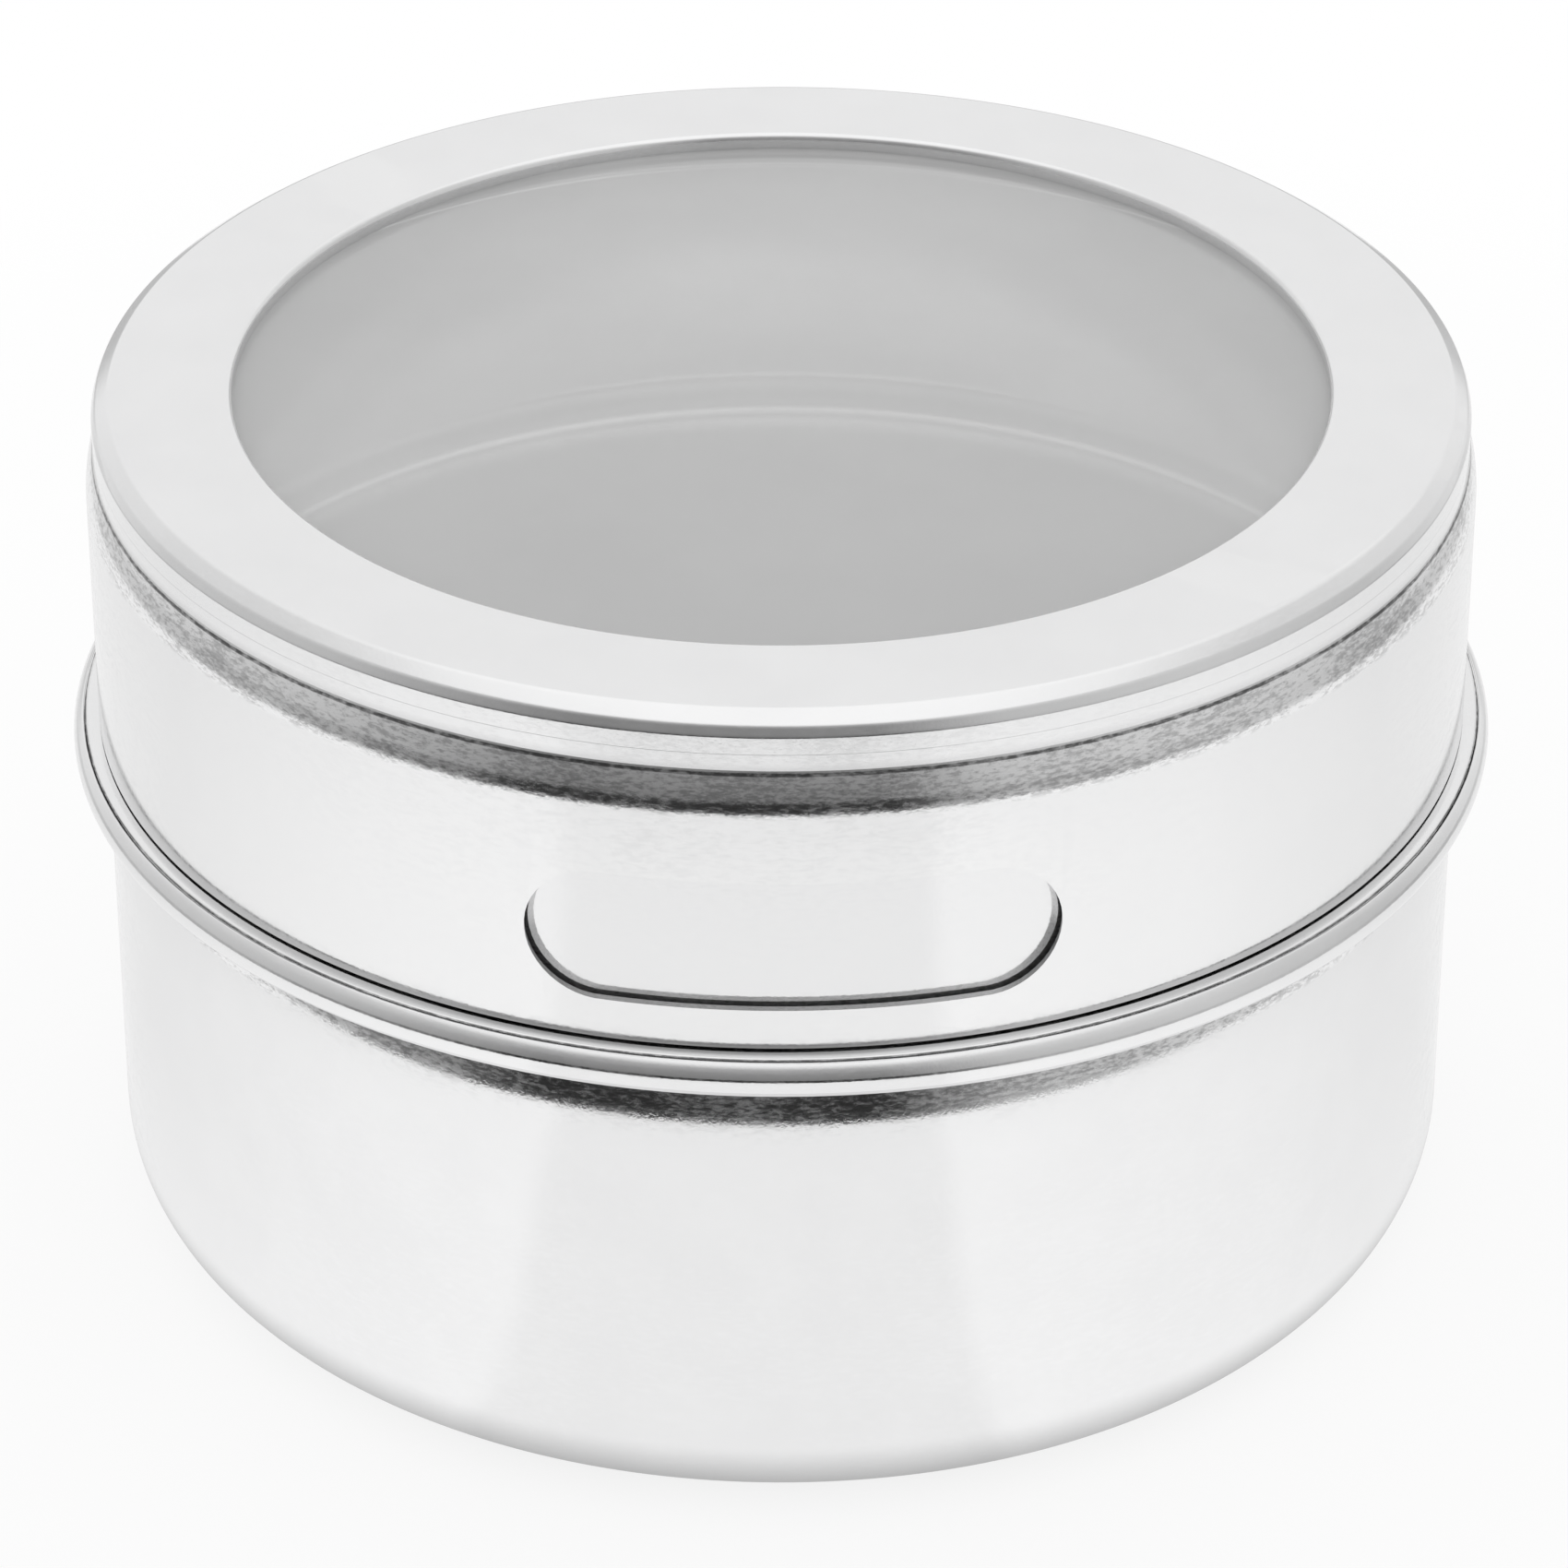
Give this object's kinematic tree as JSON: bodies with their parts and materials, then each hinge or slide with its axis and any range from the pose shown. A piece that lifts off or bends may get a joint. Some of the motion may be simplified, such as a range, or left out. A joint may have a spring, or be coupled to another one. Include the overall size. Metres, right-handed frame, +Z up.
{
  "type": "magnetic spice tin",
  "caption": "Round steel spice tin with a windowed lid that turns on the can's neck to line its slot up with a pour slot or sift holes, and a disc magnet in the base.",
  "frame": {"origin": "centre of the foot, on the plane that the tin stands on", "axes": "+Z up along the tin's axis, -Y out through the slot in the closed lid"},
  "size_m": [0.065, 0.065, 0.0413],
  "materials": {
    "can_steel": "bright stainless sheet with a fine rolled grain",
    "lid_steel": "bright stainless sheet with a fine rolled grain",
    "clear_plastic": "clear, slightly hazy",
    "ring_steel": "plain stamped steel",
    "ferrite": "dull pressed ferrite",
    "adhesive": "soft adhesive pad"
  },
  "bodies": {
    "can": {"can_body": "can_steel", "magnet": "ferrite", "magnet_adhesive": "adhesive"},
    "lid_carrier": {"retaining_ring": "ring_steel"},
    "lid": {"lid_shell": "lid_steel", "window_pane": "clear_plastic"}
  },
  "joints": [
    {"name": "lid_lift", "type": "slide", "parent": "can", "child": "lid_carrier", "axis": [0, 0, 1], "range_m": [0, 0.03]},
    {"name": "lid_turn", "type": "hinge", "parent": "lid_carrier", "child": "lid", "pos_m": [0, 0, 0.0304], "axis": [0, 0, 1], "continuous": true}
  ]
}
